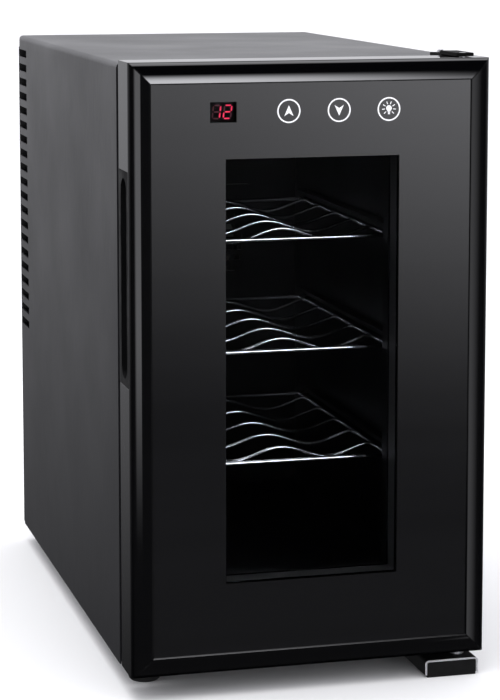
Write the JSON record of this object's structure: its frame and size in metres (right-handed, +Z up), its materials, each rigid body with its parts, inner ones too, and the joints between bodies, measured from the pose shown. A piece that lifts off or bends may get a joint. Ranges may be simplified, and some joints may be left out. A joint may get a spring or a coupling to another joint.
{
  "type": "wine cooler",
  "caption": "Freestanding wine cooler: vented steel cabinet, foamed liner with sliding wire racks, a Peltier cooling unit and a right-hinged glass door with a side finger pull.",
  "frame": {"origin": "on the floor, under the middle of the whole cooler", "axes": "+X to the cooler's right seen from the front, +Y from the door to the back, +Z up; the door faces -Y"},
  "size_m": [0.266, 0.475, 0.46],
  "materials": {
    "coated_steel": "satin",
    "black_plastic": "satin",
    "gloss_black": "gloss",
    "clear_glass": "gloss",
    "plated_steel": "satin",
    "chrome_wire": "polished",
    "aluminium": "satin",
    "rubber": "matte",
    "foam": "matte",
    "ceramic": "satin",
    "circuit_board": "satin"
  },
  "bodies": {
    "cabinet": {"cabinet_shell": "coated_steel", "base_panel": "coated_steel", "upper_hinge_bracket": "coated_steel", "inner_liner": "black_plastic", "rear_cover": "black_plastic", "hot_fan_frame": "black_plastic", "cold_fan_frame": "black_plastic", "cold_fan_grille": "black_plastic", "power_supply": "black_plastic", "power_inlet": "gloss_black", "lamp_lens": "clear_glass", "catch_frame": "plated_steel", "foam_back_plate": "plated_steel", "lower_hinge_bracket": "plated_steel", "lower_hinge_pin": "plated_steel", "upper_hinge_pin": "plated_steel", "hinge_washer": "plated_steel", "rear_cover_screw_1": "plated_steel", "rear_cover_screw_2": "plated_steel", "rear_cover_screw_3": "plated_steel", "rear_cover_screw_4": "plated_steel", "upper_hinge_screw_1": "plated_steel", "upper_hinge_screw_2": "plated_steel", "lower_hinge_screw_1": "plated_steel", "lower_hinge_screw_2": "plated_steel", "hot_sink": "aluminium", "cold_sink": "aluminium", "hinge_foot_block": "rubber", "foot_front_left": "rubber", "foot_rear_left": "rubber", "foot_rear_right": "rubber", "insulation": "foam", "peltier_module": "ceramic", "lamp_board": "circuit_board"},
    "door": {"door_rail_left": "gloss_black", "door_rail_right": "gloss_black", "door_rail_top": "gloss_black", "door_rail_bottom": "gloss_black", "outer_glass": "clear_glass", "inner_glass": "clear_glass", "mask_panel": "gloss_black", "window_spacer": "black_plastic", "door_inner_panel": "black_plastic", "door_gasket": "rubber", "door_foam": "foam", "handle_insert": "gloss_black", "control_board": "circuit_board", "display_module": "gloss_black", "touch_pad_up": "rubber", "touch_pad_down": "rubber", "touch_pad_light": "rubber", "upper_bush": "black_plastic", "lower_bush": "black_plastic"},
    "hot_fan": {"hot_fan_rotor": "black_plastic"},
    "cold_fan": {"cold_fan_rotor": "black_plastic"},
    "rack_low": {"rack_1": "chrome_wire"},
    "rack_middle": {"rack_2": "chrome_wire"},
    "rack_high": {"rack_3": "chrome_wire"}
  },
  "joints": [
    {"name": "door_hinge", "type": "hinge", "parent": "cabinet", "child": "door", "pos_m": [0.117, -0.2195, 0.017], "axis": [0, 0, 1], "range_deg": [0, 115]},
    {"name": "hot_fan_spin", "type": "hinge", "parent": "cabinet", "child": "hot_fan", "pos_m": [0, 0.2125, 0.281], "axis": [0, 1, 0], "continuous": true},
    {"name": "cold_fan_spin", "type": "hinge", "parent": "cabinet", "child": "cold_fan", "pos_m": [0, 0.1275, 0.281], "axis": [0, 1, 0], "continuous": true},
    {"name": "rack_low_slide", "type": "slide", "parent": "cabinet", "child": "rack_low", "axis": [0, -1, 0], "range_m": [0, 0.015]},
    {"name": "rack_middle_slide", "type": "slide", "parent": "cabinet", "child": "rack_middle", "axis": [0, -1, 0], "range_m": [0, 0.015]},
    {"name": "rack_high_slide", "type": "slide", "parent": "cabinet", "child": "rack_high", "axis": [0, -1, 0], "range_m": [0, 0.015]}
  ]
}
